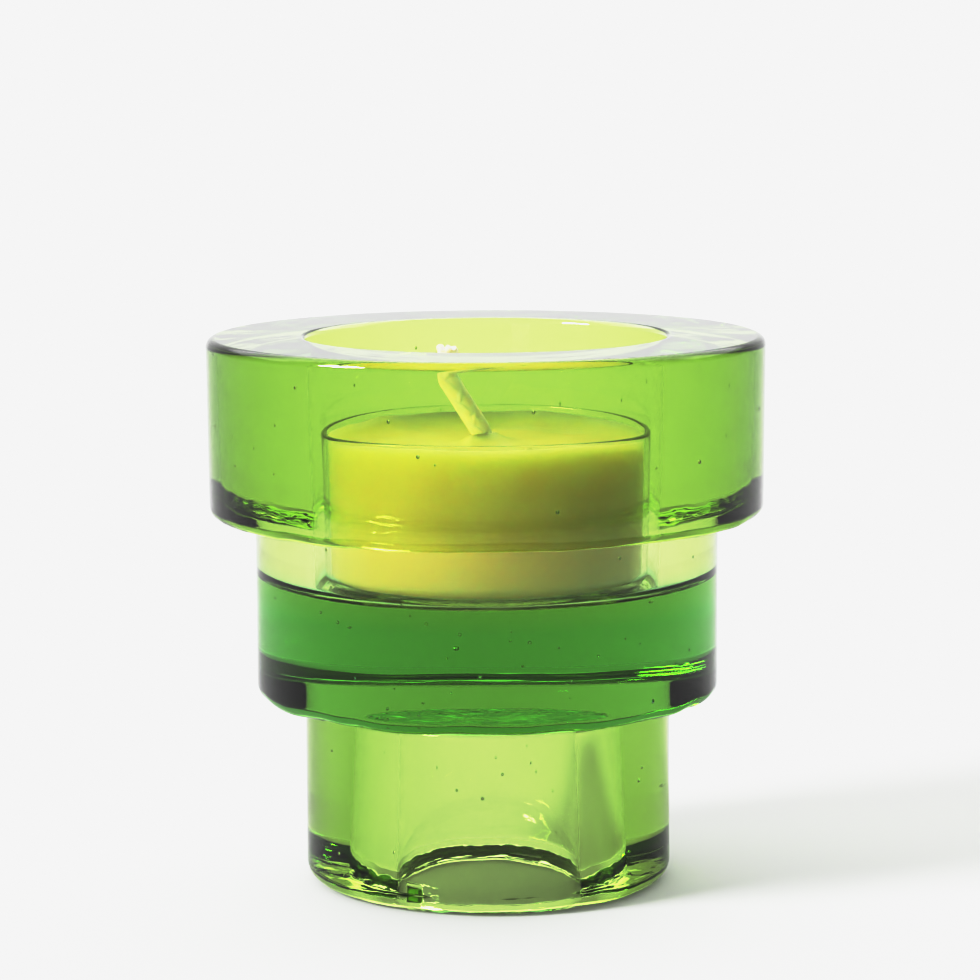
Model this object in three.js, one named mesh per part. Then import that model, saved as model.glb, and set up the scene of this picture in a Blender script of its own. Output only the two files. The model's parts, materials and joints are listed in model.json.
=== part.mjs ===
// A stepped candle holder of pressed green glass with a tealight in its top.
// The glass is one piece in three round tiers. A wide cavity in the top holds the tealight, and a
// narrow socket in the underside holds a taper candle when the holder is turned over.
// Millimetres, +Z up, origin at the middle of the base. The wick leans towards -X.

import * as THREE from 'three';

// Tealight cup
const CUP_RIM_RADIUS = 19.3;
const CUP_BASE_RADIUS = 18.9;
const CUP_HEIGHT = 18.6;
const CUP_WALL = 0.6;
const CUP_CORNER_ROUND = 2.2;

// Candle in the cup
const WAX_GAP = 0.15;
const WAX_DROP = 1.5;
const WAX_EDGE_ROUND = 0.5;
const WICK_RADIUS = 1.0;
const WICK_GAP = 0.15;
const WICK_LEAN = 4.35;
const WICK_KINK_HEIGHT = 6.8;
const WICK_TIP_LEAN = 4.45;
const WICK_TIP_HEIGHT = 10.3;

// Sustainer under the wax
const SUSTAINER_RADIUS = 6.5;
const SUSTAINER_THICKNESS = 0.3;
const NECK_WALL = 0.3;
const NECK_HEIGHT = 4.0;

// Cavity for the tealight
const CAVITY_FLOOR_CLEARANCE = 1.3;
const CAVITY_CUP_RIM_CLEARANCE = 1.353;
const CAVITY_FLOOR_ROUND = 1.4;
const CUP_REST_GAP = 0.1;
const RIM_HEADROOM = 10.2;

// Socket for a taper candle
const SOCKET_END_RADIUS = 10.2;
const SOCKET_MOUTH_RADIUS = 10.8;
const SOCKET_DEPTH = 20.5;
const SOCKET_END_ROUND = 1.5;
const SOCKET_MOUTH_ROUND = 0.5;

// Tiers of the holder, each with the wall of glass that it leaves round its hollow
const FOOT_HEIGHT = 22.0;
const FOOT_WALL = 10.6;
const MIDDLE_HEIGHT = 21.3;
const MIDDLE_WALL = 6.8;
const TOP_HEIGHT = 20.8;
const TOP_WALL = 11.6;
const TOP_DRAFT = 0.2;

// Rounded edges of the glass
const RIM_INNER_ROUND = 0.7;
const RIM_OUTER_ROUND = 1.1;
const TOP_LOW_ROUND = 1.3;
const MIDDLE_LOW_ROUND = 1.6;
const BASE_ROUND = 2.2;
const STEP_HOLLOW = 0.7;

// Facets
const TURNED_FACETS = 60;
const SUSTAINER_FACETS = 24;
const CORNER_STEPS = 4;
const WICK_SIDES = 10;
const WICK_STEPS = 28;

// Radii of the holder
const cavityFloorRadius = CUP_BASE_RADIUS + CAVITY_FLOOR_CLEARANCE;
const cupSeatDepth = CUP_HEIGHT + CUP_REST_GAP;
const cavityRadiusAtCupRim = CUP_RIM_RADIUS + CAVITY_CUP_RIM_CLEARANCE;
const cavityMouthRadius =
  cavityFloorRadius +
  ((cavityRadiusAtCupRim - cavityFloorRadius) * (cupSeatDepth + RIM_HEADROOM)) / cupSeatDepth;
const footRadius = SOCKET_MOUTH_RADIUS + FOOT_WALL;
const middleRadius = cavityFloorRadius + MIDDLE_WALL;
const topRadius = cavityMouthRadius + TOP_WALL;

// Heights of the holder
const middleStepZ = FOOT_HEIGHT;
const topStepZ = middleStepZ + MIDDLE_HEIGHT;
const rimZ = topStepZ + TOP_HEIGHT;
const cavityFloorZ = rimZ - RIM_HEADROOM - CUP_HEIGHT - CUP_REST_GAP;

// Heights and radii of the tealight
const cupBaseZ = cavityFloorZ + CUP_REST_GAP;
const cupRimZ = cupBaseZ + CUP_HEIGHT;
const cupCornerZ = cupBaseZ + CUP_CORNER_ROUND;
const candleBaseZ = cupBaseZ + CUP_WALL + WAX_GAP;
const waxTopZ = cupRimZ - WAX_DROP;
const cupCornerRadius = CUP_BASE_RADIUS - CUP_CORNER_ROUND;
const wickBoreRadius = WICK_RADIUS + WICK_GAP;
const neckRadius = wickBoreRadius + NECK_WALL;

// The cup's outer radius at a height: its wall leans out from the round corner to the rim.
function cupRadiusAt(z) {
  return THREE.MathUtils.mapLinear(z, cupCornerZ, cupRimZ, CUP_BASE_RADIUS, CUP_RIM_RADIUS);
}

function point(radius, z) {
  return new THREE.Vector2(radius, z);
}

// Points of a round corner in a profile, centred at a radius and height, between two angles.
function corner(radius, z, round, startDegrees, endDegrees) {
  return Array.from({ length: CORNER_STEPS + 1 }, (_, step) => {
    const degrees = THREE.MathUtils.lerp(startDegrees, endDegrees, step / CORNER_STEPS);
    const angle = THREE.MathUtils.degToRad(degrees);
    return point(radius + round * Math.cos(angle), z + round * Math.sin(angle));
  });
}

// A body turned about +Z from a profile of (radius, height) points.
function turned(profile, facets) {
  return new THREE.LatheGeometry(profile, facets).rotateX(Math.PI / 2);
}

function material(color, roughness, metalness = 0) {
  return new THREE.MeshStandardMaterial({ color, roughness, metalness });
}

function named(name, geometry, surface) {
  const mesh = new THREE.Mesh(geometry, surface);
  mesh.name = name;
  return mesh;
}

function greenGlass() {
  return material(0x5aa646, 0.03);
}

function clearPlastic() {
  return material(0xeef2e6, 0.06);
}

function ivoryWax() {
  return material(0xf1e2a4, 0.5);
}

function cotton() {
  return material(0xefe6d6, 0.9);
}

function tinnedSteel() {
  return material(0xb9bcbe, 0.35, 1);
}

function glassHolder() {
  const foot = footRadius - BASE_ROUND;
  const middle = middleRadius - MIDDLE_LOW_ROUND;
  const top = topRadius - TOP_DRAFT - TOP_LOW_ROUND;
  const profile = [
    point(0, SOCKET_DEPTH),
    ...corner(SOCKET_END_RADIUS - SOCKET_END_ROUND, SOCKET_DEPTH - SOCKET_END_ROUND, SOCKET_END_ROUND, 90, 0),
    ...corner(SOCKET_MOUTH_RADIUS + SOCKET_MOUTH_ROUND, SOCKET_MOUTH_ROUND, SOCKET_MOUTH_ROUND, 180, 270),
    ...corner(foot, BASE_ROUND, BASE_ROUND, -90, 0),
    ...corner(footRadius + STEP_HOLLOW, middleStepZ - STEP_HOLLOW, STEP_HOLLOW, 180, 90),
    ...corner(middle, middleStepZ + MIDDLE_LOW_ROUND, MIDDLE_LOW_ROUND, -90, 0),
    ...corner(middleRadius + STEP_HOLLOW, topStepZ - STEP_HOLLOW, STEP_HOLLOW, 180, 90),
    ...corner(top, topStepZ + TOP_LOW_ROUND, TOP_LOW_ROUND, -90, 0),
    ...corner(topRadius - RIM_OUTER_ROUND, rimZ - RIM_OUTER_ROUND, RIM_OUTER_ROUND, 0, 90),
    ...corner(cavityMouthRadius + RIM_INNER_ROUND, rimZ - RIM_INNER_ROUND, RIM_INNER_ROUND, 90, 180),
    ...corner(
      cavityFloorRadius - CAVITY_FLOOR_ROUND,
      cavityFloorZ + CAVITY_FLOOR_ROUND,
      CAVITY_FLOOR_ROUND,
      0,
      -90,
    ),
    point(0, cavityFloorZ),
  ];
  return named('glass_holder', turned(profile, TURNED_FACETS), greenGlass());
}

function tealightCup() {
  const innerRound = CUP_CORNER_ROUND - CUP_WALL;
  const profile = [
    point(0, cupBaseZ),
    ...corner(cupCornerRadius, cupCornerZ, CUP_CORNER_ROUND, -90, 0),
    point(CUP_RIM_RADIUS, cupRimZ),
    point(CUP_RIM_RADIUS - CUP_WALL, cupRimZ),
    ...corner(cupCornerRadius, cupCornerZ, innerRound, 0, -90),
    point(0, cupBaseZ + CUP_WALL),
  ];
  return named('tealight_cup', turned(profile, TURNED_FACETS), clearPlastic());
}

function candleWax() {
  const wallInset = CUP_WALL + WAX_GAP;
  const lowRound = CUP_CORNER_ROUND - wallInset;
  const recessRadius = SUSTAINER_RADIUS + WICK_GAP;
  const recessZ = candleBaseZ + SUSTAINER_THICKNESS + WICK_GAP;
  const neckBoreRadius = neckRadius + WICK_GAP;
  const neckTopZ = candleBaseZ + NECK_HEIGHT + WICK_GAP;
  const topEdgeZ = waxTopZ - WAX_EDGE_ROUND;
  const topEdge = cupRadiusAt(topEdgeZ) - wallInset - WAX_EDGE_ROUND;
  const profile = [
    point(recessRadius, recessZ),
    point(recessRadius, candleBaseZ),
    ...corner(cupCornerRadius, cupCornerZ, lowRound, -90, 0),
    ...corner(topEdge, topEdgeZ, WAX_EDGE_ROUND, 0, 90),
    point(wickBoreRadius, waxTopZ),
    point(wickBoreRadius, neckTopZ),
    point(neckBoreRadius, neckTopZ),
    point(neckBoreRadius, recessZ),
    point(recessRadius, recessZ),
  ];
  return named('candle_wax', turned(profile, TURNED_FACETS), ivoryWax());
}

function wickSustainer() {
  const diskTopZ = candleBaseZ + SUSTAINER_THICKNESS;
  const neckTopZ = candleBaseZ + NECK_HEIGHT;
  const profile = [
    point(wickBoreRadius, candleBaseZ),
    point(SUSTAINER_RADIUS, candleBaseZ),
    point(SUSTAINER_RADIUS, diskTopZ),
    point(neckRadius, diskTopZ),
    point(neckRadius, neckTopZ),
    point(wickBoreRadius, neckTopZ),
    point(wickBoreRadius, candleBaseZ),
  ];
  return named('wick_sustainer', turned(profile, SUSTAINER_FACETS), tinnedSteel());
}

// The wick stands straight in its bore, leans over as it leaves the wax and kinks upright again.
function wickPath() {
  const foot = new THREE.Vector3(0, 0, candleBaseZ);
  const exit = new THREE.Vector3(0, 0, waxTopZ);
  const kink = new THREE.Vector3(-WICK_LEAN, 0, waxTopZ + WICK_KINK_HEIGHT);
  const tip = new THREE.Vector3(-WICK_TIP_LEAN, 0, waxTopZ + WICK_TIP_HEIGHT);
  const leanStart = exit.clone().lerp(kink, 0.2);
  const leanEnd = exit.clone().lerp(kink, 0.85);
  const kinkEnd = kink.clone().lerp(tip, 0.35);
  const path = new THREE.CurvePath();
  path.add(new THREE.LineCurve3(foot, exit));
  path.add(new THREE.QuadraticBezierCurve3(exit, exit.clone().setZ(leanStart.z - 0.4), leanStart));
  path.add(new THREE.LineCurve3(leanStart, leanEnd));
  path.add(new THREE.QuadraticBezierCurve3(leanEnd, kink, kinkEnd));
  path.add(new THREE.LineCurve3(kinkEnd, tip));
  return path;
}

function wick() {
  const section = new THREE.Shape().absarc(0, 0, WICK_RADIUS, 0, 2 * Math.PI);
  const geometry = new THREE.ExtrudeGeometry(section, {
    extrudePath: wickPath(),
    steps: WICK_STEPS,
    curveSegments: WICK_SIDES / 2,
  });
  return named('wick', geometry, cotton());
}

const group = new THREE.Group();
group.add(glassHolder(), tealightCup(), candleWax(), wickSustainer(), wick());

export default group;
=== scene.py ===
"""A stepped candle holder of pressed green glass with its tealight, finished for rendering.

The holder, cup, wax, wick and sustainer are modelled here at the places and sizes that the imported
frame gives them, in metres, and each takes a procedural finish.
"""

import json
import logging
import math
import random
from dataclasses import dataclass, field
from enum import Enum
from typing import Callable, Iterable

import bmesh
import bpy
from mathutils import Matrix, Vector

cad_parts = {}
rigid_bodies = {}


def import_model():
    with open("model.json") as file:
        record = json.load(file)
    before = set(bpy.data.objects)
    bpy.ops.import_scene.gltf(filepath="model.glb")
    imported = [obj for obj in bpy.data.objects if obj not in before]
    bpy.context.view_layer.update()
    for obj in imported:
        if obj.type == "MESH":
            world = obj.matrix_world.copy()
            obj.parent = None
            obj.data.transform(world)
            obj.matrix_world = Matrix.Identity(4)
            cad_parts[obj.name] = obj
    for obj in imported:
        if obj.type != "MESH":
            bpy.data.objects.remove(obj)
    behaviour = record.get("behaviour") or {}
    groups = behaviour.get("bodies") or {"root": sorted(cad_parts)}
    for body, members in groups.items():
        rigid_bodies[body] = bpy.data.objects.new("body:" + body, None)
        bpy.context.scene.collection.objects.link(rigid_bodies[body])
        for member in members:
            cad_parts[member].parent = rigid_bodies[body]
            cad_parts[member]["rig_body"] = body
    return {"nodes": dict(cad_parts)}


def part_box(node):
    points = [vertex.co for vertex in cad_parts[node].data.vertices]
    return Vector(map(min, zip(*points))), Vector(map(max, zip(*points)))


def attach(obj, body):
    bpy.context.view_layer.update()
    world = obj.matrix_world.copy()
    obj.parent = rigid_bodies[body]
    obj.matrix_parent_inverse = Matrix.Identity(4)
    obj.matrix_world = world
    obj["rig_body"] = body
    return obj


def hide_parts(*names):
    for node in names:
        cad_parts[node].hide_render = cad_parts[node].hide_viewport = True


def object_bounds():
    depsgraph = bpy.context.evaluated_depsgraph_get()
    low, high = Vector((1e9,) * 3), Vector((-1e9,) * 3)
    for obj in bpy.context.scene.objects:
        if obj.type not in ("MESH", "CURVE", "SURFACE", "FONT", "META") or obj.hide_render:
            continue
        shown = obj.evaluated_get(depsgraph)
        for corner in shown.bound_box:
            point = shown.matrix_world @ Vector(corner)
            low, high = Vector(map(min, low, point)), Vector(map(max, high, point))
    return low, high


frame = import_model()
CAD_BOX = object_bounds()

LOG = logging.getLogger("tealight_holder")
RESPONSE = (
    (0.0, 0.0), (0.1, 0.032), (0.2, 0.075), (0.35, 0.17), (0.48, 0.30), (0.60, 0.48), (0.70, 0.645),
    (0.80, 0.75), (0.92, 0.83), (1.05, 0.885), (1.25, 0.913),
)
MM = 0.001
TINY = 0.00001


# ----------------------------------------------------------------------------------------------
# Mesh work
# ----------------------------------------------------------------------------------------------


def deselect_everything() -> None:
    """Leave edit mode and clear the selection, so that the next operator acts on nothing old."""
    if bpy.context.object and bpy.context.object.mode != "OBJECT":
        bpy.ops.object.mode_set(mode="OBJECT")
    for other in bpy.context.scene.objects:
        other.select_set(False)
    bpy.context.view_layer.objects.active = None


def make_active(piece: bpy.types.Object) -> None:
    """Select one object alone and make it the active one.

    Args:
        piece: The object that the next operators act on.
    """
    deselect_everything()
    piece.select_set(True)
    bpy.context.view_layer.objects.active = piece


class Workpiece:
    """A mesh on the bench, shaped in edit mode with faces and edges picked by their place."""

    def __init__(self, name: str, radius: float, low: float, high: float, sides: int) -> None:
        """Start from a round blank about the Z axis.

        Args:
            name: The finished piece's name.
            radius: The blank's radius.
            low: Height of its lower face.
            high: Height of its upper face.
            sides: Number of facets round it.
        """
        deselect_everything()
        bpy.ops.mesh.primitive_cylinder_add(
            vertices=sides, radius=radius, depth=high - low, location=(0, 0, (low + high) / 2)
        )
        self.object = bpy.context.object
        self.object.name = name
        self.object.data.name = name
        bpy.ops.object.transform_apply(location=True, rotation=True, scale=True)
        self._edit()

    def _edit(self) -> None:
        """Go into edit mode with nothing selected."""
        bpy.ops.object.mode_set(mode="EDIT")
        bpy.ops.mesh.select_mode(type="FACE")
        bpy.ops.mesh.select_all(action="DESELECT")

    def pick_faces(self, test: Callable[[Vector, Vector], bool]) -> None:
        """Select the faces that pass a test, and nothing else.

        Args:
            test: Takes a face's centre and its normal.
        """
        bpy.ops.mesh.select_mode(type="FACE")
        bpy.ops.mesh.select_all(action="DESELECT")
        mesh = bmesh.from_edit_mesh(self.object.data)
        for face in mesh.faces:
            face.select_set(test(face.calc_center_median(), face.normal))
        bmesh.update_edit_mesh(self.object.data)

    def pick_edges(self, test: Callable[[Vector, Vector], bool]) -> None:
        """Select the edges that pass a test, and nothing else.

        Args:
            test: Takes the positions of an edge's two ends.
        """
        bpy.ops.mesh.select_mode(type="EDGE")
        bpy.ops.mesh.select_all(action="DESELECT")
        mesh = bmesh.from_edit_mesh(self.object.data)
        for edge in mesh.edges:
            edge.select_set(test(edge.verts[0].co, edge.verts[1].co))
        bmesh.update_edit_mesh(self.object.data)

    def pick_end_face(self, height: float, facing: float) -> None:
        """Select the flat end face at a height.

        Args:
            height: The face's height.
            facing: 1 for a face that looks up and -1 for one that looks down.
        """
        self.pick_faces(
            lambda centre, normal: abs(centre.z - height) < TINY
            and centre.xy.length < TINY
            and normal.z * facing > 0.9
        )

    def step(self, rise: float, scale: float) -> None:
        """Extrude the selected end face along the axis and change its size.

        Args:
            rise: Distance moved up, or down if it is negative.
            scale: The new radius over the old one.
        """
        bpy.ops.mesh.extrude_region_move(TRANSFORM_OT_translate={"value": (0, 0, rise)})
        bpy.ops.transform.resize(value=(scale, scale, 1), center_override=(0, 0, 0))

    def round_ring(self, radius: float, height: float, width: float, segments: int) -> None:
        """Bevel the ring of edges at a radius and height into a round corner.

        Args:
            radius: Radius of the sharp corner.
            height: Height of the sharp corner.
            width: Radius of the new round.
            segments: Number of strips in the round.
        """
        def on_ring(first: Vector, second: Vector) -> bool:
            """Say whether both ends of an edge lie on the ring."""
            return all(
                abs(end.z - height) < TINY and abs(end.xy.length - radius) < TINY
                for end in (first, second)
            )

        self.pick_edges(on_ring)
        bpy.ops.mesh.bevel(offset_type="OFFSET", offset=width, segments=segments, profile=0.5)

    def cut_walls(self, low: float, high: float, cuts: int) -> None:
        """Divide the upright edges of a wall between two heights into shorter ones.

        Args:
            low: Lowest height of the wall.
            high: Highest height of the wall.
            cuts: Number of new rings.
        """
        self.pick_edges(
            lambda first, second: low - TINY < min(first.z, second.z)
            and max(first.z, second.z) < high + TINY
            and abs(first.z - second.z) > 0.6 * (high - low)
        )
        bpy.ops.mesh.subdivide(number_cuts=cuts)

    def close_disk(self, height: float, facing: float, rings: Iterable[float]) -> None:
        """Divide a flat end face into rings and a pole, so that it shades flat.

        Args:
            height: The face's height.
            facing: 1 for a face that looks up and -1 for one that looks down.
            rings: Scales of the rings, each of the one before it.
        """
        self.pick_end_face(height, facing)
        for scale in rings:
            self.step(0, scale)
        bpy.ops.mesh.poke()

    def pick_open_edges(self) -> None:
        """Select the edges of open borders, and nothing else."""
        self.pick_edges(lambda first, second: False)
        mesh = bmesh.from_edit_mesh(self.object.data)
        for edge in mesh.edges:
            edge.select_set(edge.is_boundary)
        bmesh.update_edit_mesh(self.object.data)

    def finish(self, smooth_angle: float) -> bpy.types.Object:
        """Leave edit mode and shade the piece smooth, keeping its sharp edges sharp.

        Args:
            smooth_angle: Edges sharper than this stay sharp, in degrees.

        Returns:
            The finished object.
        """
        bpy.ops.object.mode_set(mode="OBJECT")
        make_active(self.object)
        bpy.ops.object.shade_smooth_by_angle(angle=math.radians(smooth_angle))
        return self.object


def apply_modifier(piece: bpy.types.Object, kind: str, **settings: object) -> None:
    """Add one modifier to a piece, set it up and apply it.

    Args:
        piece: The object to change.
        kind: The modifier's type.
        **settings: Values of the modifier's own properties.
    """
    make_active(piece)
    bpy.ops.object.modifier_add(type=kind)
    modifier = piece.modifiers[-1]
    for name, value in settings.items():
        setattr(modifier, name, value)
    bpy.ops.object.modifier_apply(modifier=modifier.name)


def ripple_texture(name: str, size: float) -> bpy.types.Texture:
    """Make a soft cloud pattern that a displacement reads.

    Args:
        name: The texture's name.
        size: Width of one ripple.

    Returns:
        The texture.
    """
    texture = bpy.data.textures.new(name, "CLOUDS")
    texture.noise_scale = size
    texture.noise_depth = 1
    return texture


# ----------------------------------------------------------------------------------------------
# Shader work
# ----------------------------------------------------------------------------------------------


class Effect(Enum):
    """Shader node groups that more than one finish uses."""

    RIPPLE = "pressed ripple"
    MOTTLE = "mottled mask"
    HANDLING = "handling marks"


class SocketKind(Enum):
    """Kinds of socket that a group has."""

    VALUE = "NodeSocketFloat"
    VECTOR = "NodeSocketVector"


def feed(
    tree: bpy.types.NodeTree, value: float | bpy.types.NodeSocket, socket: bpy.types.NodeSocket
) -> None:
    """Give an input its value, by a link or as a plain number.

    Args:
        tree: The tree that the input is in.
        value: A number, or the socket to link from.
        socket: The input.
    """
    if isinstance(value, bpy.types.NodeSocket):
        tree.links.new(value, socket)
    else:
        socket.default_value = value


def add_math(
    tree: bpy.types.NodeTree, operation: str, *values: float | bpy.types.NodeSocket
) -> bpy.types.NodeSocket:
    """Add a Math node.

    Args:
        tree: The tree to add it to.
        operation: What it does.
        *values: What it works on, as numbers or sockets.

    Returns:
        The socket that gives its result.
    """
    node = tree.nodes.new("ShaderNodeMath")
    node.operation = operation
    for value, socket in zip(values, node.inputs):
        feed(tree, value, socket)
    return node.outputs[0]


def add_vector(
    tree: bpy.types.NodeTree, operation: str, *values: bpy.types.NodeSocket
) -> bpy.types.Node:
    """Add a Vector Math node.

    Args:
        tree: The tree to add it to.
        operation: What it does.
        *values: The vectors that it works on.

    Returns:
        The node.
    """
    node = tree.nodes.new("ShaderNodeVectorMath")
    node.operation = operation
    for value, socket in zip(values, node.inputs):
        tree.links.new(value, socket)
    return node


def add_range(
    tree: bpy.types.NodeTree, value: bpy.types.NodeSocket, smooth: bool,
    **limits: float | bpy.types.NodeSocket,
) -> bpy.types.NodeSocket:
    """Add a Map Range node.

    Args:
        tree: The tree to add it to.
        value: The socket that gives the value to map.
        smooth: Whether it eases in and out.
        **limits: from_min, from_max, to_min and to_max, where they aren't 0 or 1.

    Returns:
        The socket that gives the mapped value.
    """
    node = tree.nodes.new("ShaderNodeMapRange")
    if smooth:
        node.interpolation_type = "SMOOTHSTEP"
    tree.links.new(value, node.inputs["Value"])
    for name, limit in limits.items():
        feed(tree, limit, node.inputs[name.replace("_", " ").title()])
    return node.outputs["Result"]


def add_two_tone(
    tree: bpy.types.NodeTree, mask: bpy.types.NodeSocket, first: Iterable[float],
    second: Iterable[float],
) -> bpy.types.NodeSocket:
    """Mix two colours by a mask.

    Args:
        tree: The tree to add the node to.
        mask: The socket that gives the second colour's share.
        first: The colour where the mask is 0.
        second: The colour where the mask is 1.

    Returns:
        The socket that gives the colour.
    """
    blend = tree.nodes.new("ShaderNodeMix")
    blend.data_type = "RGBA"
    blend.inputs["A"].default_value = (*first, 1)
    blend.inputs["B"].default_value = (*second, 1)
    tree.links.new(mask, blend.inputs["Factor"])
    return blend.outputs["Result"]


class GroupBuilder:
    """Builds each shared effect once and places it in the finishes that ask for it."""

    def __init__(self) -> None:
        """Start with no groups built."""
        self._groups: dict[Effect, bpy.types.NodeTree] = {}

    def place(self, tree: bpy.types.NodeTree, effect: Effect, **values: float) -> bpy.types.Node:
        """Put an effect in a material's tree and feed it Object coordinates.

        Args:
            tree: The material's node tree.
            effect: Which effect to place.
            **values: The effect's inputs, by their names in lower case.

        Returns:
            The group node.
        """
        if effect not in self._groups:
            makers = {
                Effect.RIPPLE: self._make_ripple,
                Effect.MOTTLE: self._make_mottle,
                Effect.HANDLING: self._make_handling,
            }
            self._groups[effect] = makers[effect]()
        node = tree.nodes.new("ShaderNodeGroup")
        node.node_tree = self._groups[effect]
        node.label = effect.value
        place = tree.nodes.new("ShaderNodeTexCoord")
        tree.links.new(place.outputs["Object"], node.inputs["Place"])
        for name, value in values.items():
            node.inputs[name.capitalize()].default_value = value
        return node

    def _start(
        self, effect: Effect, inputs: dict[str, float], outputs: tuple[str, ...]
    ) -> tuple[bpy.types.NodeTree, bpy.types.Node, bpy.types.Node]:
        """Make an empty group with a Place input, plain values and value outputs.

        Args:
            effect: Which effect it is for.
            inputs: Names and first values of its inputs.
            outputs: Names of its outputs.

        Returns:
            The tree, its input node and its output node.
        """
        tree = bpy.data.node_groups.new(effect.value, "ShaderNodeTree")
        tree.interface.new_socket("Place", in_out="INPUT", socket_type=SocketKind.VECTOR.value)
        for name, value in inputs.items():
            socket = tree.interface.new_socket(
                name, in_out="INPUT", socket_type=SocketKind.VALUE.value
            )
            socket.default_value = value
        for name in outputs:
            tree.interface.new_socket(name, in_out="OUTPUT", socket_type=SocketKind.VALUE.value)
        return tree, tree.nodes.new("NodeGroupInput"), tree.nodes.new("NodeGroupOutput")

    def _noise(
        self, tree: bpy.types.NodeTree, source: bpy.types.Node, size: str, detail: float
    ) -> bpy.types.NodeSocket:
        """Add a noise texture whose scale is one over a named size.

        Args:
            tree: The group's tree.
            source: The group's input node.
            size: Name of the input that holds the pattern's size.
            detail: Number of finer layers.

        Returns:
            The socket that gives the noise.
        """
        noise = tree.nodes.new("ShaderNodeTexNoise")
        noise.inputs["Detail"].default_value = detail
        tree.links.new(source.outputs["Place"], noise.inputs["Vector"])
        scale = add_math(tree, "DIVIDE", 1.0, source.outputs[size])
        tree.links.new(scale, noise.inputs["Scale"])
        return noise.outputs["Fac"]

    def _make_ripple(self) -> bpy.types.NodeTree:
        """Broad and fine surface ripple as a height in metres."""
        inputs = {"Size": 0.012, "Fine": 0.003, "Share": 0.2, "Height": 0.00002}
        tree, source, target = self._start(Effect.RIPPLE, inputs, ("Height",))
        blend = tree.nodes.new("ShaderNodeMix")
        tree.links.new(source.outputs["Share"], blend.inputs[0])
        tree.links.new(self._noise(tree, source, "Size", 1.0), blend.inputs[2])
        tree.links.new(self._noise(tree, source, "Fine", 1.0), blend.inputs[3])
        lift = add_math(tree, "MULTIPLY", blend.outputs[0], source.outputs["Height"])
        tree.links.new(lift, target.inputs["Height"])
        return tree

    def _make_mottle(self) -> bpy.types.NodeTree:
        """Soft-edged blotches as a mask from 0 to 1."""
        inputs = {"Size": 0.006, "Level": 0.5, "Softness": 0.1}
        tree, source, target = self._start(Effect.MOTTLE, inputs, ("Mask",))
        edge = source.outputs["Level"], source.outputs["Softness"]
        mask = add_range(
            tree, self._noise(tree, source, "Size", 2.0), True,
            from_min=add_math(tree, "SUBTRACT", *edge), from_max=add_math(tree, "ADD", *edge),
        )
        tree.links.new(mask, target.inputs["Mask"])
        return tree

    def _make_handling(self) -> bpy.types.NodeTree:
        """Faint smears and specks from handling, as a roughness between two values."""
        inputs = {"Size": 0.01, "Clean": 0.0, "Marked": 0.1}
        tree, source, target = self._start(Effect.HANDLING, inputs, ("Roughness",))
        roughness = add_range(
            tree, self._noise(tree, source, "Size", 4.0), False, from_min=0.55, from_max=0.75,
            to_min=source.outputs["Clean"], to_max=source.outputs["Marked"],
        )
        tree.links.new(roughness, target.inputs["Roughness"])
        return tree


GROUPS = GroupBuilder()


def new_material(name: str) -> tuple[bpy.types.Material, bpy.types.NodeTree, bpy.types.Node]:
    """Make a material with one Principled shader.

    Args:
        name: The material's name.

    Returns:
        The material, its tree and the shader.
    """
    material = bpy.data.materials.new(name)
    material.use_nodes = True
    return material, material.node_tree, material.node_tree.nodes["Principled BSDF"]


def rough_normal(
    tree: bpy.types.NodeTree, shader: bpy.types.Node, height: bpy.types.NodeSocket
) -> None:
    """Feed a height in metres to a shader's Normal through a Bump node.

    Args:
        tree: The material's tree.
        shader: The Principled shader.
        height: The socket that gives the height.
    """
    bump = tree.nodes.new("ShaderNodeBump")
    bump.inputs["Distance"].default_value = 1.0
    tree.links.new(height, bump.inputs["Height"])
    tree.links.new(bump.outputs["Normal"], shader.inputs["Normal"])


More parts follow.
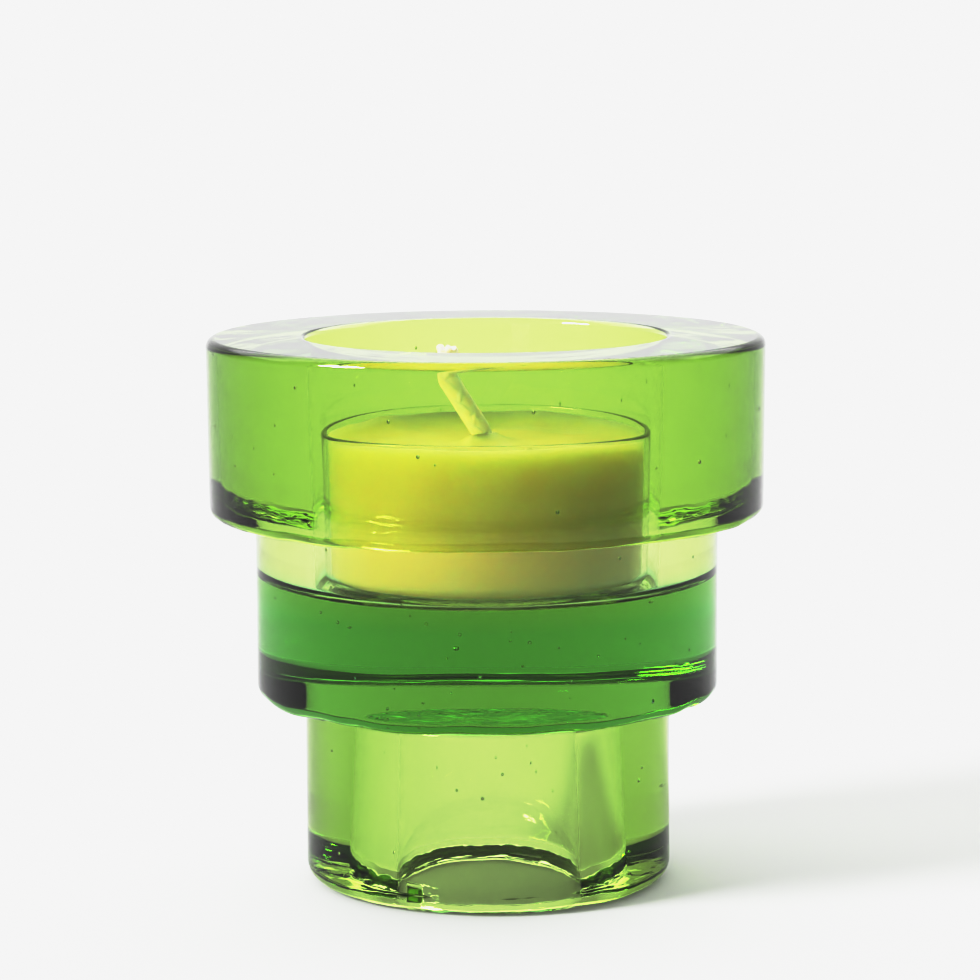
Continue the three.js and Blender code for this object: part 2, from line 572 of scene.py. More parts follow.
@dataclass(frozen=True)
class GreenGlass:
    """Clear green glass that colours light by how much glass it passes, with painted shade on the
    middle tier.
    """

    name: str = "green_pressed_glass"
    ior: float = 1.5
    density: float = 100.0
    passes: tuple[float, float, float] = (0.67, 0.785, 0.36)
    ripple_size: float = 9 * MM
    ripple_height: float = 0.006 * MM
    chill_size: float = 2.4 * MM
    chill_height: float = 0.3 * MM
    turning_reach: float = 7 * MM
    base_zone: float = 5 * MM
    chill_feet: tuple[float, ...] = (0.0, 22.0 * MM, 43.3 * MM)
    chill_shares: tuple[float, ...] = (0.4, 0.16, 0.16)
    tint_heights: tuple[float, float, float, float] = (21.9 * MM, 33.5 * MM, 36.5 * MM, 43.2 * MM)
    tint_height_range: float = 70 * MM
    tint_radius: float = 22 * MM
    tint_step: float = 0.002
    rim_margin: float = 5 * MM
    # Painted shade: the floor's green shadow that the solid middle tier shows, put into its outer
    # skin's colour.
    painted_shade_tint: tuple[float, float, float] = (0.50, 0.94, 1.0)
    top_tint: tuple[float, float, float] = (0.84, 0.92, 0.55)

    def _around_axis(self, tree: bpy.types.NodeTree) -> tuple[bpy.types.NodeSocket, ...]:
        """Split the Object coordinates into what lies across and along the upright axis.

        Args:
            tree: The material's tree.

        Returns:
            The place without its height, its distance from the axis and its height.
        """
        place = tree.nodes.new("ShaderNodeTexCoord")
        split = tree.nodes.new("ShaderNodeSeparateXYZ")
        tree.links.new(place.outputs["Object"], split.inputs[0])
        flat = tree.nodes.new("ShaderNodeCombineXYZ")
        for axis in "XY":
            tree.links.new(split.outputs[axis], flat.inputs[axis])
        radius = add_vector(tree, "LENGTH", flat.outputs[0])
        return flat.outputs[0], radius.outputs["Value"], split.outputs["Z"]

    def _tint_with_painted_shade(self, tree: bpy.types.NodeTree) -> bpy.types.NodeSocket:
        """Paint shade on the solid middle tier's outer skin, and deepen the colour of the top
        tier's outer skin.

        Args:
            tree: The material's tree.

        Returns:
            The socket that gives the surface's tint.
        """
        _, radius, height = self._around_axis(tree)
        ramp = tree.nodes.new("ShaderNodeValToRGB")
        share = add_range(tree, height, False, from_max=self.tint_height_range)
        tree.links.new(share, ramp.inputs["Fac"])
        low, solid, clear, top = (z / self.tint_height_range for z in self.tint_heights)
        stops = ramp.color_ramp.elements
        stops[0].position, stops[0].color = low, (1, 1, 1, 1)
        stops[1].position, stops[1].color = top + self.tint_step, (*self.top_tint, 1)
        # Painted shade over the solid part of the middle tier, fading out below the cavity floor.
        for position, colour in (
            (low + self.tint_step, self.painted_shade_tint), (solid, self.painted_shade_tint),
            (clear, (1, 1, 1)), (top, (1, 1, 1)),
        ):
            stops.new(position).color = (*colour, 1)
        outer = add_math(tree, "GREATER_THAN", radius, self.tint_radius)
        tint = add_two_tone(tree, outer, (1, 1, 1), (1, 1, 1))
        tree.links.new(ramp.outputs["Color"], tint.node.inputs["B"])
        return tint

    def _turned_place(self, tree: bpy.types.NodeTree) -> bpy.types.NodeSocket:
        """Squeeze the Object coordinates round the axis, so that marks run along the turning.

        Args:
            tree: The material's tree.

        Returns:
            The socket that gives the squeezed coordinates.
        """
        flat, radius, height = self._around_axis(tree)
        way = add_vector(tree, "NORMALIZE", flat)
        squeezed = add_vector(tree, "SCALE", way.outputs[0])
        squeezed.inputs["Scale"].default_value = self.turning_reach
        across = tree.nodes.new("ShaderNodeCombineXYZ")
        tree.links.new(add_math(tree, "ADD", radius, height), across.inputs["Z"])
        return add_vector(tree, "ADD", squeezed.outputs[0], across.outputs[0]).outputs[0]

    def _surface_height(self, tree: bpy.types.NodeTree) -> bpy.types.NodeSocket:
        """Mix the polish ripple with the chill waves of the faces that the mould cooled first.

        Args:
            tree: The material's tree.

        Returns:
            The socket that gives the surface's height.
        """
        polish = GROUPS.place(
            tree, Effect.RIPPLE, size=self.ripple_size, fine=2.5 * MM, height=self.ripple_height
        )
        chill = GROUPS.place(
            tree, Effect.RIPPLE, size=self.chill_size, fine=0.9 * MM, share=0.25,
            height=self.chill_height,
        )
        tree.links.new(self._turned_place(tree), chill.inputs["Place"])
        facing = tree.nodes.new("ShaderNodeNewGeometry")
        split = tree.nodes.new("ShaderNodeSeparateXYZ")
        tree.links.new(facing.outputs["Normal"], split.inputs[0])
        level = add_math(tree, "ABSOLUTE", split.outputs["Z"])
        _, _, height = self._around_axis(tree)
        below_rim = add_math(tree, "LESS_THAN", height, self.tint_heights[-1] + self.rim_margin)
        mask = add_range(tree, level, True, from_min=0.4, from_max=1.0, to_max=below_rim)
        for foot, share in zip(self.chill_feet, self.chill_shares):
            above = add_math(tree, "GREATER_THAN", height, foot - 0.5 * MM)
            fade = add_range(
                tree, height, True, from_min=foot + self.base_zone, from_max=foot, to_max=share
            )
            mask = add_math(tree, "MAXIMUM", mask, add_math(tree, "MULTIPLY", above, fade))
        return add_math(
            tree, "MULTIPLY_ADD", chill.outputs["Height"], mask, polish.outputs["Height"]
        )

    def make(self) -> bpy.types.Material:
        """Build the material."""
        material, tree, shader = new_material(self.name)
        tree.links.new(self._tint_with_painted_shade(tree), shader.inputs["Base Color"])
        shader.inputs["Roughness"].default_value = 0.0
        shader.inputs["IOR"].default_value = self.ior
        shader.inputs["Transmission Weight"].default_value = 1.0
        rough_normal(tree, shader, self._surface_height(tree))
        body = tree.nodes.new("ShaderNodeVolumeAbsorption")
        body.inputs["Color"].default_value = (*self.passes, 1)
        body.inputs["Density"].default_value = self.density
        tree.links.new(body.outputs["Volume"], tree.nodes["Material Output"].inputs["Volume"])
        return material


@dataclass(frozen=True)
class ClearPlastic:
    """Thin clear moulded plastic."""

    name: str = "clear_cup_plastic"
    ior: float = 1.49

    def make(self) -> bpy.types.Material:
        """Build the material."""
        material, tree, shader = new_material(self.name)
        shader.inputs["Base Color"].default_value = (0.98, 0.985, 0.97, 1)
        shader.inputs["Roughness"].default_value = 0.0
        shader.inputs["IOR"].default_value = self.ior
        shader.inputs["Transmission Weight"].default_value = 1.0
        ripple = GROUPS.place(tree, Effect.RIPPLE, size=5 * MM, fine=2 * MM, height=0.004 * MM)
        rough_normal(tree, shader, ripple.outputs["Height"])
        return material


@dataclass(frozen=True)
class CandleWaxFinish:
    """Ivory wax that light sinks into, paler where it has let go of the cup."""

    name: str = "ivory_wax"
    stuck: tuple[float, float, float] = (0.98, 0.78, 0.32)
    loose: tuple[float, float, float] = (0.98, 0.83, 0.42)

    def make(self) -> bpy.types.Material:
        """Build the material."""
        material, tree, shader = new_material(self.name)
        mottle = GROUPS.place(tree, Effect.MOTTLE, size=11 * MM, level=0.52, softness=0.12)
        colour = add_two_tone(tree, mottle.outputs["Mask"], self.stuck, self.loose)
        tree.links.new(colour, shader.inputs["Base Color"])
        handling = GROUPS.place(tree, Effect.HANDLING, size=4 * MM, clean=0.34, marked=0.55)
        tree.links.new(handling.outputs["Roughness"], shader.inputs["Roughness"])
        shader.inputs["IOR"].default_value = 1.44
        shader.inputs["Subsurface Weight"].default_value = 1.0
        shader.inputs["Subsurface Radius"].default_value = (1.0, 0.8, 0.4)
        shader.inputs["Subsurface Scale"].default_value = 6 * MM
        ripple = GROUPS.place(tree, Effect.RIPPLE, size=4 * MM, fine=0.8 * MM, height=0.05 * MM)
        rough_normal(tree, shader, ripple.outputs["Height"])
        return material


@dataclass(frozen=True)
class CottonFinish:
    """Bleached cotton yarn soaked with wax."""

    name: str = "waxed_cotton"
    pale: tuple[float, float, float] = (0.95, 0.90, 0.84)
    soaked: tuple[float, float, float] = (0.92, 0.84, 0.72)

    def make(self) -> bpy.types.Material:
        """Build the material."""
        material, tree, shader = new_material(self.name)
        mottle = GROUPS.place(tree, Effect.MOTTLE, size=1.2 * MM, level=0.5, softness=0.15)
        colour = add_two_tone(tree, mottle.outputs["Mask"], self.pale, self.soaked)
        tree.links.new(colour, shader.inputs["Base Color"])
        shader.inputs["Roughness"].default_value = 0.7
        shader.inputs["Subsurface Weight"].default_value = 0.3
        shader.inputs["Subsurface Scale"].default_value = 0.5 * MM
        ripple = GROUPS.place(tree, Effect.RIPPLE, size=0.4 * MM, fine=0.12 * MM, height=0.05 * MM)
        rough_normal(tree, shader, ripple.outputs["Height"])
        return material


@dataclass(frozen=True)
class TinnedSteelFinish:
    """Thin stamped steel with a dull tinned skin."""

    name: str = "tinned_steel"
    bright: tuple[float, float, float] = (0.70, 0.71, 0.72)
    dull: tuple[float, float, float] = (0.58, 0.59, 0.61)

    def make(self) -> bpy.types.Material:
        """Build the material."""
        material, tree, shader = new_material(self.name)
        mottle = GROUPS.place(tree, Effect.MOTTLE, size=1.5 * MM, level=0.5, softness=0.2)
        colour = add_two_tone(tree, mottle.outputs["Mask"], self.bright, self.dull)
        tree.links.new(colour, shader.inputs["Base Color"])
        shader.inputs["Metallic"].default_value = 1.0
        handling = GROUPS.place(tree, Effect.HANDLING, size=1 * MM, clean=0.28, marked=0.5)
        tree.links.new(handling.outputs["Roughness"], shader.inputs["Roughness"])
        return material


@dataclass(frozen=True)
class StudioFloorFinish:
    """Matt near-white table top."""

    name: str = "studio_floor"
    colour: tuple[float, float, float] = (0.62, 0.62, 0.62)
    glow: float = 0.11

    def make(self) -> bpy.types.Material:
        """Build the material."""
        material, _, shader = new_material(self.name)
        shader.inputs["Base Color"].default_value = (*self.colour, 1)
        shader.inputs["Roughness"].default_value = 0.9
        shader.inputs["Specular IOR Level"].default_value = 0.0
        shader.inputs["Emission Color"].default_value = (1, 1, 1, 1)
        shader.inputs["Emission Strength"].default_value = self.glow
        return material


# ----------------------------------------------------------------------------------------------
# Pieces
# ----------------------------------------------------------------------------------------------


def dress(piece: bpy.types.Object, material: bpy.types.Material, node: str) -> None:
    """Give a piece its finish and let it stand for its node, on that node's body.

    Args:
        piece: The finished mesh.
        material: Its finish.
        node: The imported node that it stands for.
    """
    piece.data.materials.clear()
    piece.data.materials.append(material)
    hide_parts(node)
    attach(piece, frame["nodes"][node]["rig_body"])
    LOG.info("%s: %d faces", piece.name, len(piece.data.polygons))


@dataclass
class GlassHolder:
    """The pressed glass holder: three round tiers, a cavity on top and a socket underneath."""

    sides: int = 192
    round_segments: int = 8
    top_wall: float = 11.6 * MM
    top_draft: float = 0.2 * MM
    cavity_taper: float = 0.7 * MM
    middle_wall: float = 6.8 * MM
    foot_radius: float = 21.4 * MM
    foot_height: float = 22.0 * MM
    middle_height: float = 21.3 * MM
    rest_gap: float = 0.1 * MM
    socket_mouth_radius: float = 10.8 * MM
    socket_end_radius: float = 10.2 * MM
    socket_depth: float = 20.5 * MM
    rim_inner_round: float = 0.7 * MM
    rim_outer_round: float = 1.1 * MM
    top_low_round: float = 1.3 * MM
    middle_low_round: float = 1.6 * MM
    base_round: float = 2.2 * MM
    step_hollow: float = 0.7 * MM
    cavity_floor_round: float = 1.4 * MM
    socket_end_round: float = 1.5 * MM
    socket_mouth_round: float = 0.5 * MM
    ripple: float = 0.06 * MM
    wave_zone: float = 5 * MM
    wave_size: float = 5.5 * MM
    wave_depths: tuple[float, float, float] = (0.35 * MM, 0.55 * MM, 0.4 * MM)
    seed_count: int = 110
    seed_sizes: tuple[float, float] = (0.07 * MM, 0.2 * MM)
    finish: GreenGlass = field(default_factory=GreenGlass)

    def __post_init__(self) -> None:
        """Work out the radii and heights from the frame."""
        low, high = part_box("glass_holder")
        cup_low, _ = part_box("tealight_cup")
        self.rim_radius = high.x
        self.rim_z = high.z
        self.base_z = low.z
        self.mouth_radius = self.rim_radius - self.top_wall
        self.cavity_floor_radius = self.mouth_radius - self.cavity_taper
        self.cavity_floor_z = cup_low.z - self.rest_gap
        self.middle_radius = self.cavity_floor_radius + self.middle_wall
        self.middle_step_z = self.base_z + self.foot_height
        self.top_step_z = self.middle_step_z + self.middle_height
        self.top_low_radius = self.rim_radius - self.top_draft

    def _press_tiers(self) -> Workpiece:
        """Raise the three tiers, sink the cavity and sink the socket.

        Returns:
            The sharp-edged holder, still on the bench.
        """
        work = Workpiece(
            "glass_holder_body", self.foot_radius, self.base_z, self.middle_step_z, self.sides
        )
        half_out = (self.foot_radius + self.middle_radius) / 2
        half_top = (self.middle_radius + self.top_low_radius) / 2
        work.pick_end_face(self.middle_step_z, 1)
        work.step(0, half_out / self.foot_radius)
        work.step(0, self.middle_radius / half_out)
        work.step(self.middle_height, 1)
        work.step(0, half_top / self.middle_radius)
        work.step(0, self.top_low_radius / half_top)
        work.step(self.rim_z - self.top_step_z, self.rim_radius / self.top_low_radius)
        work.step(0, self.mouth_radius / self.rim_radius)
        work.step(self.cavity_floor_z - self.rim_z, self.cavity_floor_radius / self.mouth_radius)
        work.pick_end_face(self.base_z, -1)
        work.step(0, self.socket_mouth_radius / self.foot_radius)
        work.step(self.socket_depth, self.socket_end_radius / self.socket_mouth_radius)
        return work

    def _round_edges(self, work: Workpiece) -> None:
        """Fire-polish every edge to its own round.

        Args:
            work: The sharp-edged holder.
        """
        rings = (
            (self.mouth_radius, self.rim_z, self.rim_inner_round),
            (self.rim_radius, self.rim_z, self.rim_outer_round),
            (self.top_low_radius, self.top_step_z, self.top_low_round),
            (self.middle_radius, self.top_step_z, self.step_hollow),
            (self.middle_radius, self.middle_step_z, self.middle_low_round),
            (self.foot_radius, self.middle_step_z, self.step_hollow),
            (self.foot_radius, self.base_z, self.base_round),
            (self.socket_mouth_radius, self.base_z, self.socket_mouth_round),
            (self.socket_end_radius, self.base_z + self.socket_depth, self.socket_end_round),
            (self.cavity_floor_radius, self.cavity_floor_z, self.cavity_floor_round),
        )
        for radius, height, width in rings:
            work.round_ring(radius, height, width, self.round_segments)

    def _cut_for_ripple(self, work: Workpiece) -> None:
        """Divide the tall walls, so that the ripple has vertices to move.

        Args:
            work: The rounded holder.
        """
        walls = (
            (self.base_z, self.middle_step_z),
            (self.middle_step_z, self.top_step_z),
            (self.top_step_z, self.rim_z),
            (self.cavity_floor_z, self.rim_z),
            (self.base_z, self.base_z + self.socket_depth),
        )
        for low, high in walls:
            work.cut_walls(low, high, 11)
        work.close_disk(self.cavity_floor_z, 1, (0.97, 0.8, 0.6, 0.4, 0.2))
        work.close_disk(self.base_z + self.socket_depth, -1, (0.97, 0.8, 0.6, 0.4, 0.2))

    def _wave_feet(self, body: bpy.types.Object) -> None:
        """Leave the waves that the cold mould presses into the foot of each tier.

        Args:
            body: The rounded holder.
        """
        for number, (height, depth, level) in enumerate(zip(
            (self.base_z, self.middle_step_z, self.top_step_z), self.wave_depths, (0.0, 0.5, 0.5)
        )):
            group = body.vertex_groups.new(name=f"foot_{number}")
            for vertex in body.data.vertices:
                rise = vertex.co.z - height
                if -TINY < rise < self.wave_zone and vertex.co.xy.length > self.socket_mouth_radius:
                    group.add([vertex.index], 1.0 - rise / self.wave_zone, "REPLACE")
            apply_modifier(
                body, "DISPLACE", texture=ripple_texture(f"waves_{number}", self.wave_size),
                texture_coords="LOCAL", direction="Z", vertex_group=group.name, strength=depth,
                mid_level=level,
            )

    def _in_glass(self, radius: float, height: float, margin: float) -> bool:
        """Say whether a point lies inside the glass, clear of its surface.

        Args:
            radius: Distance from the axis.
            height: Height above the base.
            margin: Least distance to the surface.

        Returns:
            True if the point is in the glass.
        """
        if height < self.middle_step_z - margin:
            outer = self.foot_radius
        elif height < self.top_step_z + margin:
            outer = self.middle_radius
        else:
            outer = self.top_low_radius
        inner = 0.0
        if height > self.cavity_floor_z - margin:
            inner = self.mouth_radius
        elif height < self.base_z + self.socket_depth + margin:
            inner = self.socket_mouth_radius
        clear_of_ends = self.base_z + 2 * margin < height < self.rim_z - 2 * margin
        return clear_of_ends and inner + margin < radius < outer - margin

    def _sow_seeds(self, body: bpy.types.Object) -> bpy.types.Object:
        """Leave small round air seeds in the glass, as hollows of the same mesh.

        Args:
            body: The smooth holder.

        Returns:
            The holder with its seeds.
        """
        draw = random.Random(11)
        deselect_everything()
        bpy.ops.mesh.primitive_ico_sphere_add(subdivisions=2, radius=1)
        pattern = bpy.context.object
        bpy.ops.object.mode_set(mode="EDIT")
        bpy.ops.mesh.select_all(action="SELECT")
        bpy.ops.mesh.flip_normals()
        bpy.ops.object.mode_set(mode="OBJECT")
        bpy.ops.object.shade_smooth()
        seeds = []
        while len(seeds) < self.seed_count:
            height = draw.uniform(self.base_z, self.rim_z)
            radius = self.rim_radius * math.sqrt(draw.random())
            turn = draw.uniform(0, 2 * math.pi)
            size = draw.uniform(*self.seed_sizes)
            if not self._in_glass(radius, height, 1.5 * MM):
                continue
            seed = pattern.copy()
            seed.data = pattern.data.copy()
            place = Vector((radius * math.cos(turn), radius * math.sin(turn), height))
            stretch = draw.uniform(1.0, 1.5)
            seed.data.transform(
                Matrix.Translation(place) @ Matrix.Diagonal((size, size, size * stretch, 1))
            )
            bpy.context.scene.collection.objects.link(seed)
            seeds.append(seed)
        bpy.data.objects.remove(pattern)
        make_active(body)
        for seed in seeds:
            seed.select_set(True)
        bpy.ops.object.join()
        return body

    def build(self) -> bpy.types.Object:
        """Press, polish, ripple and dress the holder.

        Returns:
            The finished holder.
        """
        work = self._press_tiers()
        self._round_edges(work)
        self._cut_for_ripple(work)
        body = work.finish(35)
        apply_modifier(
            body, "DISPLACE", texture=ripple_texture("holder_ripple", 14 * MM),
            texture_coords="LOCAL", strength=self.ripple, mid_level=0.5,
        )
        self._wave_feet(body)
        apply_modifier(body, "WEIGHTED_NORMAL", keep_sharp=True, weight=50)
        body = self._sow_seeds(body)
        dress(body, self.finish.make(), "glass_holder")
        return body


@dataclass
class TealightCup:
    """The tealight's clear moulded cup."""

    sides: int = 160
    wall: float = 0.6 * MM
    base_inset: float = 0.4 * MM
    corner_round: float = 2.2 * MM
    lip_round: float = 0.2 * MM
    push_up: float = 0.1 * MM
    finish: ClearPlastic = field(default_factory=ClearPlastic)

    def build(self) -> bpy.types.Object:
        """Mould and dress the cup.

        Returns:
            The finished cup.
        """
        low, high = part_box("tealight_cup")
        base_radius = high.x - self.base_inset
        work = Workpiece("clear_cup", base_radius, low.z, high.z, self.sides)
        work.pick_end_face(high.z, 1)
        bpy.ops.transform.resize(
            value=(high.x / base_radius, high.x / base_radius, 1), center_override=(0, 0, 0)
        )
        bpy.ops.mesh.delete(type="ONLY_FACE")
        work.round_ring(base_radius, low.z, self.corner_round, 8)
        work.pick_end_face(low.z, -1)
        work.step(0, 0.8)
        work.step(self.push_up, 0.97)
        for scale in (0.75, 0.6, 0.5):
            work.step(0, scale)
        bpy.ops.mesh.poke()
        work.cut_walls(low.z + self.corner_round, high.z, 6)
        cup = work.finish(35)
        apply_modifier(cup, "SOLIDIFY", thickness=self.wall, offset=-1.0, use_even_offset=True)
        apply_modifier(
            cup, "BEVEL", width=self.lip_round, segments=3, limit_method="ANGLE",
            angle_limit=math.radians(60),
        )
        apply_modifier(cup, "WEIGHTED_NORMAL", keep_sharp=True, weight=50)
        dress(cup, self.finish.make(), "tealight_cup")
        return cup


@dataclass
class Candle:
    """The wax, its wick and the sustainer that stands under it."""

    sides: int = 144
    # Radius and rise in millimetres of each ring of the wax's top, from the wall to the wick.
    top_rings: tuple[tuple[float, float], ...] = (
        (18.3, 0.0), (18.05, -0.45), (17.7, -0.35), (17.2, -0.25), (16.4, -0.2), (14.5, -0.15),
        (11.0, -0.04), (7.5, 0.02), (4.5, 0.08), (3.2, 0.14), (2.4, 0.24), (1.8, 0.3),
        (1.4, 0.22),
    )
    base_inset: float = 0.35 * MM
    corner_round: float = 1.6 * MM
    wick_radius: float = 1.0 * MM
    bore_gap: float = 0.03 * MM
    creep: float = 1.0 * MM
    swell: float = 0.28
    crumb_place: tuple[float, float] = (4.6 * MM, -8.0 * MM)
    crumb_radius: float = 0.45 * MM
    strand_count: int = 3
    strand_turns_per_mm: float = 0.13
    strand_radius: float = 0.36 * MM
    core_share: float = 0.93
    weave_depth: float = 0.06 * MM
    fray: float = 0.12 * MM
    disk_thickness: float = 0.3 * MM
    neck_radius: float = 1.45 * MM
    wick_steps: int = 170
    wick_lift: float = 0.2 * MM
    bend_share: float = 0.66

    def __post_init__(self) -> None:
        """Read the candle's place from the frame."""
        self.low, self.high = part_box("candle_wax")
        self.disk_low, self.disk_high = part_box("wick_sustainer")
        self.wick_low, self.wick_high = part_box("wick")

    def build_wax(self) -> bpy.types.Object:
        """Pour and dress the wax, with its recess for the sustainer and its bore for the wick.

        Returns:
            The finished wax.
        """
        base_radius = self.high.x - self.base_inset
        work = Workpiece("ivory_candle_wax", base_radius, self.low.z, self.high.z, self.sides)
        work.pick_end_face(self.high.z, 1)
        spread = self.high.x / base_radius
        bpy.ops.transform.resize(value=(spread, spread, 1), center_override=(0, 0, 0))
        bore = self.wick_radius + self.bore_gap
        radius = self.high.x
        work.step(self.creep, 1)
        for target, rise in self.top_rings:
            work.step(rise * MM, target * MM / radius)
            radius = target * MM
        work.step(0.1 * MM, bore / radius)
        bpy.ops.mesh.delete(type="ONLY_FACE")
        disk_recess = self.disk_high.x + self.bore_gap
        neck_recess = self.neck_radius + self.bore_gap
        disk_height = self.disk_thickness + self.bore_gap
        neck_height = self.disk_high.z - self.disk_low.z - self.disk_thickness
        work.pick_end_face(self.low.z, -1)
        work.step(0, disk_recess / base_radius)
        work.step(disk_height, 1)
        work.step(0, neck_recess / disk_recess)
        work.step(neck_height, 1)
        work.step(0, bore / neck_recess)
        bpy.ops.mesh.delete(type="ONLY_FACE")
        work.pick_open_edges()
        bpy.ops.mesh.bridge_edge_loops(number_cuts=6)
        work.round_ring(base_radius, self.low.z, self.corner_round, 8)
        work.cut_walls(self.low.z + self.corner_round, self.high.z, 6)
        wax = work.finish(50)
        fill_line = wax.vertex_groups.new(name="fill_line")
        top = [
            vertex.index for vertex in wax.data.vertices
            if vertex.co.z > self.high.z - 1.5 * MM and vertex.co.xy.length > 3 * MM
        ]
        fill_line.add(top, 1.0, "REPLACE")
        apply_modifier(
            wax, "DISPLACE", texture=ripple_texture("fill_line", 13 * MM), texture_coords="LOCAL",
            direction="Z", vertex_group="fill_line", strength=1.1 * MM, mid_level=0.6,
        )
        self._drop_crumb(wax)
        dress(wax, CandleWaxFinish().make(), "candle_wax")
        return wax

    def _drop_crumb(self, wax: bpy.types.Object) -> None:
        """Leave one small crumb of wax on the candle's top.

        Args:
            wax: The wax, which the crumb joins.
        """
        deselect_everything()
        x, y = self.crumb_place
        bpy.ops.mesh.primitive_ico_sphere_add(
            subdivisions=3, radius=self.crumb_radius, location=(x, y, self.high.z - 0.55 * MM)
        )
        crumb = bpy.context.object
        bpy.ops.object.transform_apply(location=True, rotation=True, scale=True)
        bpy.ops.object.shade_smooth()
        make_active(wax)
        crumb.select_set(True)
        bpy.ops.object.join()

    def _wick_line(self, share: float) -> Vector:
        """Give the middle of the wick at a share of its height.

        Args:
            share: 0 at its foot and 1 at its tip.

        Returns:
            The point.
        """
        foot = self.wick_low.z + self.wick_lift
        height = foot + share * (self.wick_high.z - foot)
        above = (height - self.high.z) / (self.wick_high.z - self.high.z)
        lean = self.wick_low.x + self.wick_radius
        bend = min(max(above / self.bend_share, 0.0), 1.0)
        return Vector((lean * bend, 0, height))

    def build_wick(self) -> bpy.types.Object:
        """Braid and dress the wick.

        Returns:
            The finished wick.
        """
        strands = []
        steps = self.wick_steps
        draw = random.Random(5)
        for number in range(-1, 2 * self.strand_count):
            core = number < 0
            turn_way = 1 if number % 2 else -1
            radius = self.core_share * self.wick_radius if core else self.strand_radius
            data = bpy.data.curves.new("strand", "CURVE")
            data.dimensions = "3D"
            data.bevel_depth = radius
            data.bevel_resolution = 3
            data.use_fill_caps = True
            line = data.splines.new("POLY")
            line.points.add(steps)
            end = 1.0 - draw.uniform(0.0, 0.02)
            for step in range(steps + 1):
                share = end * step / steps
                middle = self._wick_line(share)
                crossing = math.pi * number + 2 * math.pi * self.strand_count * (
                    self.strand_turns_per_mm * middle.z / MM
                )
                clear = (middle.z - self.high.z) / self.wick_radius
                swell = self.swell * min(max(clear, 0.0), 1.0)
                reach = self.wick_radius - radius - self.weave_depth * (1 - math.cos(crossing)) / 2
                reach *= 1 + swell
                reach += self.fray * max(0.0, share - 0.95) / 0.05 * draw.uniform(0.6, 1.0)
                turn = 2 * math.pi * (
                    (number // 2) / self.strand_count
                    + turn_way * self.strand_turns_per_mm * middle.z / MM
                )
                offset = Vector((reach * math.cos(turn), reach * math.sin(turn), 0))
                line.points[step].co = (*(middle if core else middle + offset), 1)
                line.points[step].radius = 1 + swell
            strand = bpy.data.objects.new("strand", data)
            bpy.context.scene.collection.objects.link(strand)
            strands.append(strand)
        make_active(strands[0])
        for strand in strands:
            strand.select_set(True)
        bpy.ops.object.convert(target="MESH")
        bpy.ops.object.join()
        wick = bpy.context.object
        wick.name = "braided_wick"
        bpy.ops.object.shade_smooth_by_angle(angle=math.radians(50))
        dress(wick, CottonFinish().make(), "wick")
        return wick

    def build_sustainer(self) -> bpy.types.Object:
        """Stamp and dress the sustainer.

        Returns:
            The finished sustainer.
        """
        low, high = self.disk_low, self.disk_high
        bore = self.neck_radius - 0.3 * MM
        top = low.z + self.disk_thickness
        work = Workpiece("stamped_sustainer", high.x, low.z, top, 64)
        work.pick_end_face(top, 1)
        work.step(0, 2.2 * MM / high.x)
        work.step(0.15 * MM, 1.7 / 2.2)
        work.step(high.z - top - 0.15 * MM, self.neck_radius / (1.7 * MM))
        work.step(0, bore / self.neck_radius)
        bpy.ops.mesh.delete(type="ONLY_FACE")
        work.pick_end_face(low.z, -1)
        work.step(0, bore / high.x)
        bpy.ops.mesh.delete(type="ONLY_FACE")
        work.pick_open_edges()
        bpy.ops.mesh.bridge_edge_loops(number_cuts=2)
        work.round_ring(high.x, top, 0.1 * MM, 3)
        work.round_ring(high.x, low.z, 0.1 * MM, 3)
        sustainer = work.finish(35)
        dress(sustainer, TinnedSteelFinish().make(), "wick_sustainer")
        return sustainer


# ----------------------------------------------------------------------------------------------
# Studio
# ----------------------------------------------------------------------------------------------


def light_group(name: str, pieces: Iterable[bpy.types.Object]) -> bpy.types.Collection:
    """Gather the pieces that a light's linking names.

    Args:
        name: The group's name.
        pieces: The pieces.

    Returns:
        The group.
    """
    group = bpy.data.collections.new(name)
    for piece in pieces:
        group.objects.link(piece)
    return group


@dataclass(frozen=True)
class SunKey:
    """A distant light, with its softness and its place in degrees."""

    name: str
    strength: float
    angle: float
    azimuth: float
    height: float
    colour: tuple[float, float, float] = (1.0, 1.0, 1.0)

    def hang(self, receivers: bpy.types.Collection) -> bpy.types.Object:
        """Put the light in the scene.

        Args:
            receivers: The group that its light linking goes by.

        Returns:
            The light.
        """
        data = bpy.data.lights.new(self.name, "SUN")
        data.energy = self.strength
        data.angle = math.radians(self.angle)
        data.color = self.colour
        lamp = bpy.data.objects.new(self.name, data)
        bpy.context.scene.collection.objects.link(lamp)
        azimuth, height = math.radians(self.azimuth), math.radians(self.height)
        towards = Vector(
            (math.cos(azimuth) * math.cos(height), math.sin(azimuth) * math.cos(height),
             math.sin(height))
        )
        lamp.rotation_euler = towards.to_track_quat("Z", "Y").to_euler()
        lamp.light_linking.receiver_collection = receivers
        return lamp


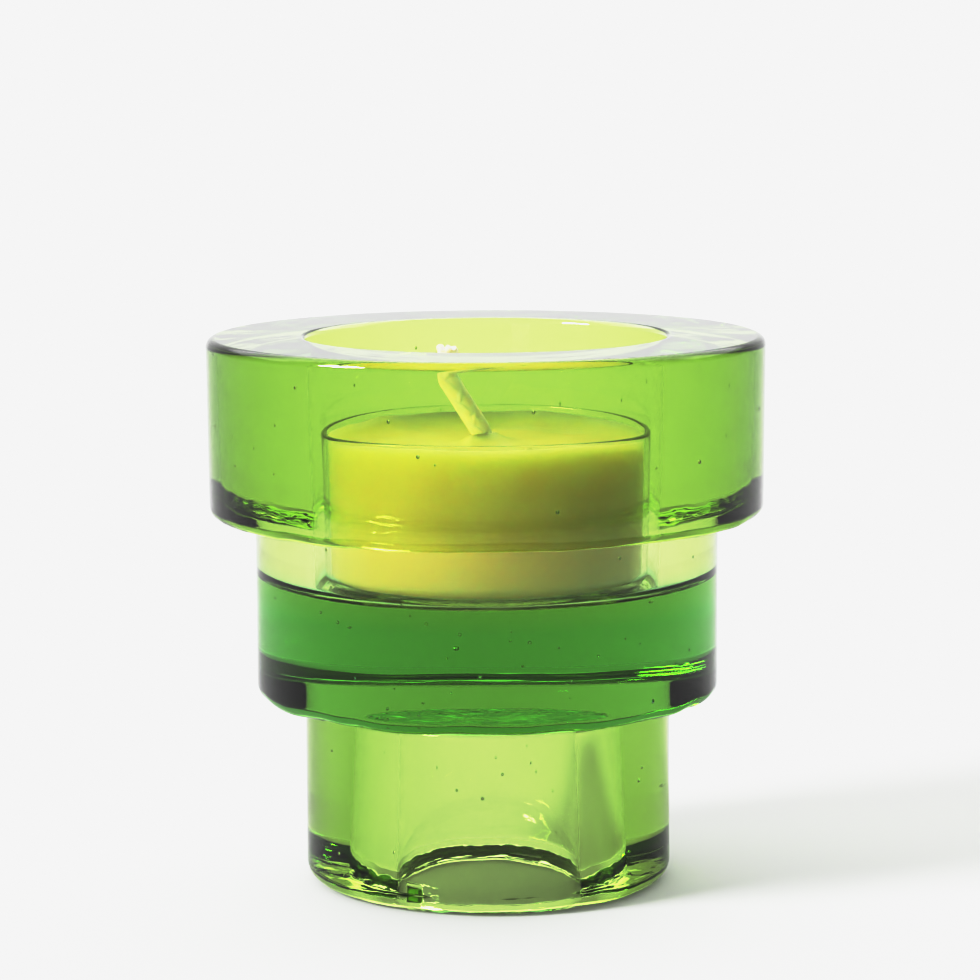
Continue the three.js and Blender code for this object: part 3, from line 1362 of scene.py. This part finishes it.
@dataclass
class Studio:
    """A pale floor, a pale room, a soft key light from the left and the camera."""

    floor_half_width: float = 20.0
    room_light: float = 1.3
    front_light: float = 0.8
    ceiling_light: float = 0.7
    overhead_light: float = 2.2
    key: SunKey = SunKey("key", strength=4.7, angle=20.0, azimuth=205.0, height=28.0)
    candle_key: SunKey = SunKey(
        "candle_key", strength=2.7, angle=50.0, azimuth=212.0, height=14.0,
        colour=(1.0, 0.93, 0.6),
    )
    overhead_edges: tuple[tuple[str, float, float], ...] = (
        ("Z", 0.36, 0.46), ("Z", 0.9, 0.8), ("Y", 0.05, 0.2),
    )
    camera_distance: float = 430.0 * MM
    camera_height: float = 105.57 * MM
    camera_pitch: float = 7.907
    camera_roll: float = -0.30
    camera_yaw: float = -0.055
    lens: float = 136.64

    def build_floor(self) -> None:
        """Lay the floor under the object."""
        deselect_everything()
        low, _ = CAD_BOX
        bpy.ops.mesh.primitive_plane_add(size=2 * self.floor_half_width, location=(0, 0, low[2]))
        floor = bpy.context.object
        floor.name = "studio_floor"
        floor.data.materials.append(StudioFloorFinish().make())

    def build_world(self) -> None:
        """Fill the room with pale light, softer towards the ceiling."""
        world = bpy.data.worlds.new("pale_room")
        bpy.context.scene.world = world
        world.use_nodes = True
        tree = world.node_tree
        background = tree.nodes["Background"]
        background.inputs["Color"].default_value = (1, 1, 1, 1)
        way = tree.nodes.new("ShaderNodeTexCoord")
        split = tree.nodes.new("ShaderNodeSeparateXYZ")
        tree.links.new(way.outputs["Generated"], split.inputs[0])
        depth = add_range(
            tree, split.outputs["Y"], True, from_min=0.5, from_max=0.94,
            to_min=self.front_light, to_max=self.room_light,
        )
        fade = add_range(
            tree, split.outputs["Z"], True, from_min=0.35, from_max=1.0,
            to_min=depth, to_max=self.ceiling_light,
        )
        share = 1.0
        for axis, dark, bright in self.overhead_edges:
            edge = add_range(tree, split.outputs[axis], False, from_min=dark, from_max=bright)
            share = add_math(tree, "MULTIPLY", edge, share)
        total = add_math(tree, "MULTIPLY_ADD", share, self.overhead_light, fade)
        tree.links.new(total, background.inputs["Strength"])

    def build_key(self, waxes: list[bpy.types.Object]) -> None:
        """Hang the soft key light to the left of the camera.

        Args:
            waxes: The candle's wax and wick, which have their own key and leave this one out.
        """
        group = light_group("key_light_group", waxes)
        for member in group.collection_objects:
            member.light_linking.link_state = "EXCLUDE"
        self.key.hang(group)

    def build_candle_key(self, waxes: list[bpy.types.Object]) -> None:
        """Give the candle its share of the key light that the thick glass would pass.

        Args:
            waxes: The candle's wax and wick, which alone take this light and shade it.
        """
        group = light_group("candle_light_group", waxes)
        self.candle_key.hang(group).light_linking.blocker_collection = group

    def build_camera(self) -> None:
        """Stand the camera in front of the object, looking slightly down."""
        data = bpy.data.cameras.new("camera")
        data.lens = self.lens
        data.sensor_width = 36.0
        data.clip_start = 0.01
        data.clip_end = 100.0
        camera = bpy.data.objects.new("camera", data)
        bpy.context.scene.collection.objects.link(camera)
        camera.matrix_world = (
            Matrix.Translation((0, -self.camera_distance, self.camera_height))
            @ Matrix.Rotation(math.radians(self.camera_yaw), 4, "Z")
            @ Matrix.Rotation(math.radians(90 - self.camera_pitch), 4, "X")
            @ Matrix.Rotation(math.radians(self.camera_roll), 4, "Z")
        )
        bpy.context.scene.camera = camera

    def set_response(self) -> None:
        """Give the picture the contrast of a camera: deeper mid tones under the same whites."""
        settings = bpy.context.scene.view_settings
        settings.view_transform = "Standard"
        settings.use_curve_mapping = True
        mapping = settings.curve_mapping
        mapping.use_clip = False
        mapping.extend = "HORIZONTAL"
        for curve in list(mapping.curves)[:3]:
            curve.points[0].location = RESPONSE[0]
            curve.points[-1].location = RESPONSE[-1]
            for point in RESPONSE[1:-1]:
                curve.points.new(*point)
        mapping.update()

    def build(self) -> None:
        """Set up the whole studio."""
        self.build_camera()
        self.build_floor()
        self.build_world()
        self.set_response()
        scene = bpy.context.scene
        scene.cycles.use_denoising = True
        scene.cycles.max_bounces = 24
        scene.cycles.sample_clamp_indirect = 0.0
        scene.cycles.transmission_bounces = 24


def main() -> None:
    """Build the studio, the holder and the tealight, in order."""
    logging.basicConfig(level=logging.INFO, format="%(name)s %(message)s")
    studio = Studio()
    studio.build()
    GlassHolder().build()
    TealightCup().build()
    candle = Candle()
    waxes = [candle.build_wax(), candle.build_wick()]
    studio.build_key(waxes)
    studio.build_candle_key(waxes)
    candle.build_sustainer()


if __name__ == "__main__":
    main()
